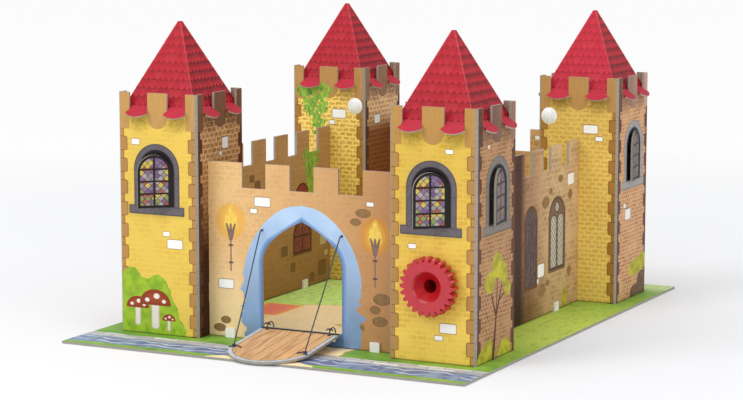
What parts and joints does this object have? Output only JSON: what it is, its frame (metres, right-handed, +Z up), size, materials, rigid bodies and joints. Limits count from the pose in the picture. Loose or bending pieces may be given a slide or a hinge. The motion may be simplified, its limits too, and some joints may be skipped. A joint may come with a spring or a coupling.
{
  "type": "cardboard toy castle",
  "caption": "Folded card castle on a printed board: square towers with pyramid roofs, crenellated walls, and a gate whose drawbridge a toothed wheel winds up on cords.",
  "frame": {"origin": "on the board's underside, in the middle of the footprint from the lowered drawbridge's tip to the board's back edge", "axes": "+Z up, gate and winch wheel face -Y, +X to the right seen from the front"},
  "size_m": [0.3606, 0.4732, 0.2588],
  "materials": {
    "printed_board": "printed greyboard, satin",
    "printed_card": "printed greyboard, satin, grey core at cut edges",
    "roof_card": "printed card, satin",
    "wall_card": "printed greyboard, satin, grey core at cut edges",
    "bridge_card": "printed greyboard, satin, grey core at cut edges",
    "white_plastic": "moulded, semi gloss",
    "red_plastic": "moulded, semi gloss",
    "cord": "twisted black cord"
  },
  "bodies": {
    "castle": {"base_board": "printed_board", "tower_front_left": "printed_card", "tower_front_right": "printed_card", "tower_back_left": "printed_card", "tower_back_right": "printed_card", "roof_front_left": "roof_card", "roof_front_right": "roof_card", "roof_back_left": "roof_card", "roof_back_right": "roof_card", "front_wall": "wall_card", "right_wall": "wall_card", "back_wall": "wall_card", "left_wall": "wall_card", "front_clip_left": "white_plastic", "front_clip_right": "white_plastic", "right_clip_front": "white_plastic", "right_clip_back": "white_plastic", "back_clip_left": "white_plastic", "back_clip_right": "white_plastic", "left_clip_back": "white_plastic", "left_clip_front": "white_plastic", "rivet_left": "white_plastic", "rivet_right": "white_plastic", "washer_left": "white_plastic", "washer_right": "white_plastic", "hinge_loop_left": "cord", "hinge_loop_right": "cord", "lifting_cord_left": "cord", "lifting_cord_right": "cord", "winch_cord_left": "cord", "winch_cord_right": "cord", "cord_peg": "white_plastic", "axle_bush": "white_plastic", "bush_ring": "white_plastic"},
    "drawbridge": {"drawbridge": "bridge_card", "knot_left": "cord", "knot_right": "cord"},
    "winch": {"winch_gear": "red_plastic", "winch_spool": "white_plastic", "cord_winding": "cord"}
  },
  "joints": [
    {"name": "winch_turn", "type": "hinge", "parent": "castle", "child": "winch", "pos_m": [0.12625, -0.17189, 0.0631], "axis": [0, 1, 0], "range_deg": [0, 388]},
    {"name": "drawbridge_hinge", "type": "hinge", "parent": "castle", "child": "drawbridge", "pos_m": [0.00175, -0.15619, 0.013], "axis": [-1, 0, 0], "range_deg": [0, 97.2], "deforming": ["lifting_cord_left", "lifting_cord_right"]}
  ],
  "couplings": [
    {"joint": "drawbridge_hinge", "follows": "winch_turn", "ratio": 0.25}
  ]
}
